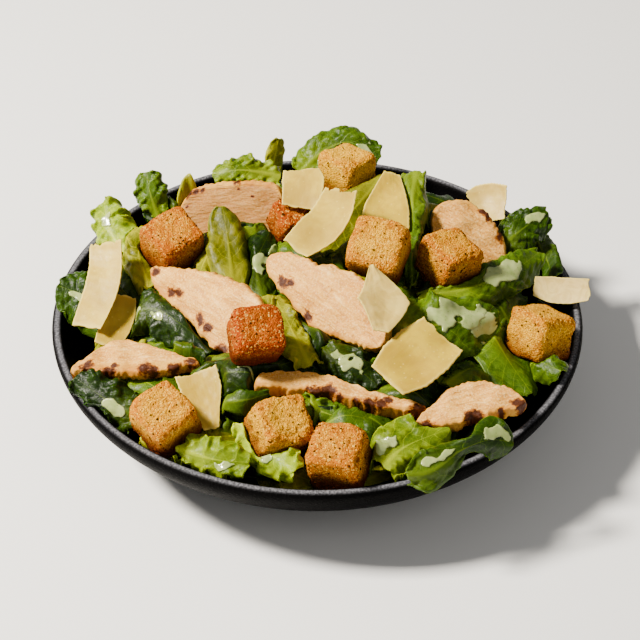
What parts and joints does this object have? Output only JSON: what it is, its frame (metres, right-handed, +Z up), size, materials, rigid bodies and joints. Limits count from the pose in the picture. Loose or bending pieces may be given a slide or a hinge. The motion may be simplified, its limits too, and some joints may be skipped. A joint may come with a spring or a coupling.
{
  "type": "chicken caesar salad in a bowl",
  "caption": "Shallow matt black bowl heaped with torn romaine lettuce, sliced grilled chicken, toasted bread cubes, shavings of hard cheese and a creamy dressing.",
  "frame": {"origin": "middle of the flat underside of the bowl's foot, on the surface that it stands on", "axes": "+Z up, out of the bowl; -Y towards the salad's front, the side that the camera faces; +X to the right of it"},
  "size_m": [0.2235, 0.22, 0.0819],
  "materials": {
    "bowl": "matt black with a fine pale speckle along the rim",
    "lettuce": "moist leaf, yellow-green ribs, darker green towards the edges, with creamy dressing",
    "lettuce_heap": "leaves in shade",
    "crouton": "toasted bread with pepper and herb flecks",
    "chicken": "cooked white meat with browned grill marks",
    "shaving": "pale hard cheese, slightly waxy"
  },
  "bodies": {
    "root": {"bowl": "bowl", "chicken_back_left": "chicken", "chicken_back_right": "chicken", "chicken_front": "chicken", "chicken_front_left": "chicken", "chicken_front_right": "chicken", "chicken_left": "chicken", "chicken_middle": "chicken", "crouton_back": "crouton", "crouton_back_left": "crouton", "crouton_behind_shaving": "crouton", "crouton_front": "crouton", "crouton_front_left": "crouton", "crouton_front_middle": "crouton", "crouton_left_middle": "crouton", "crouton_middle": "crouton", "crouton_right": "crouton", "crouton_right_middle": "crouton", "leaf_back_arch": "lettuce", "leaf_back_crinkled": "lettuce", "leaf_back_smooth": "lettuce", "leaf_back_upright": "lettuce", "leaf_dark_centre": "lettuce", "leaf_dark_curled": "lettuce", "leaf_dark_front": "lettuce", "leaf_front_frill": "lettuce", "leaf_front_left": "lettuce", "leaf_front_left_frill": "lettuce", "leaf_front_ruffled": "lettuce", "leaf_large": "lettuce", "leaf_left": "lettuce", "leaf_left_curls": "lettuce", "leaf_left_fold": "lettuce", "leaf_left_frill": "lettuce", "leaf_left_knob": "lettuce", "leaf_middle_rib": "lettuce", "leaf_over_rim": "lettuce", "leaf_pointed": "lettuce", "leaf_right_curl": "lettuce", "leaf_right_curled": "lettuce", "leaf_right_pleats": "lettuce", "leaf_right_pool": "lettuce", "leaf_spike": "lettuce", "lettuce_heap": "lettuce_heap", "shaving_back": "shaving", "shaving_back_left": "shaving", "shaving_back_rim": "shaving", "shaving_front": "shaving", "shaving_front_left": "shaving", "shaving_left": "shaving", "shaving_left_under": "shaving", "shaving_long": "shaving", "shaving_middle": "shaving", "shaving_right_rim": "shaving"}
  },
  "joints": []
}
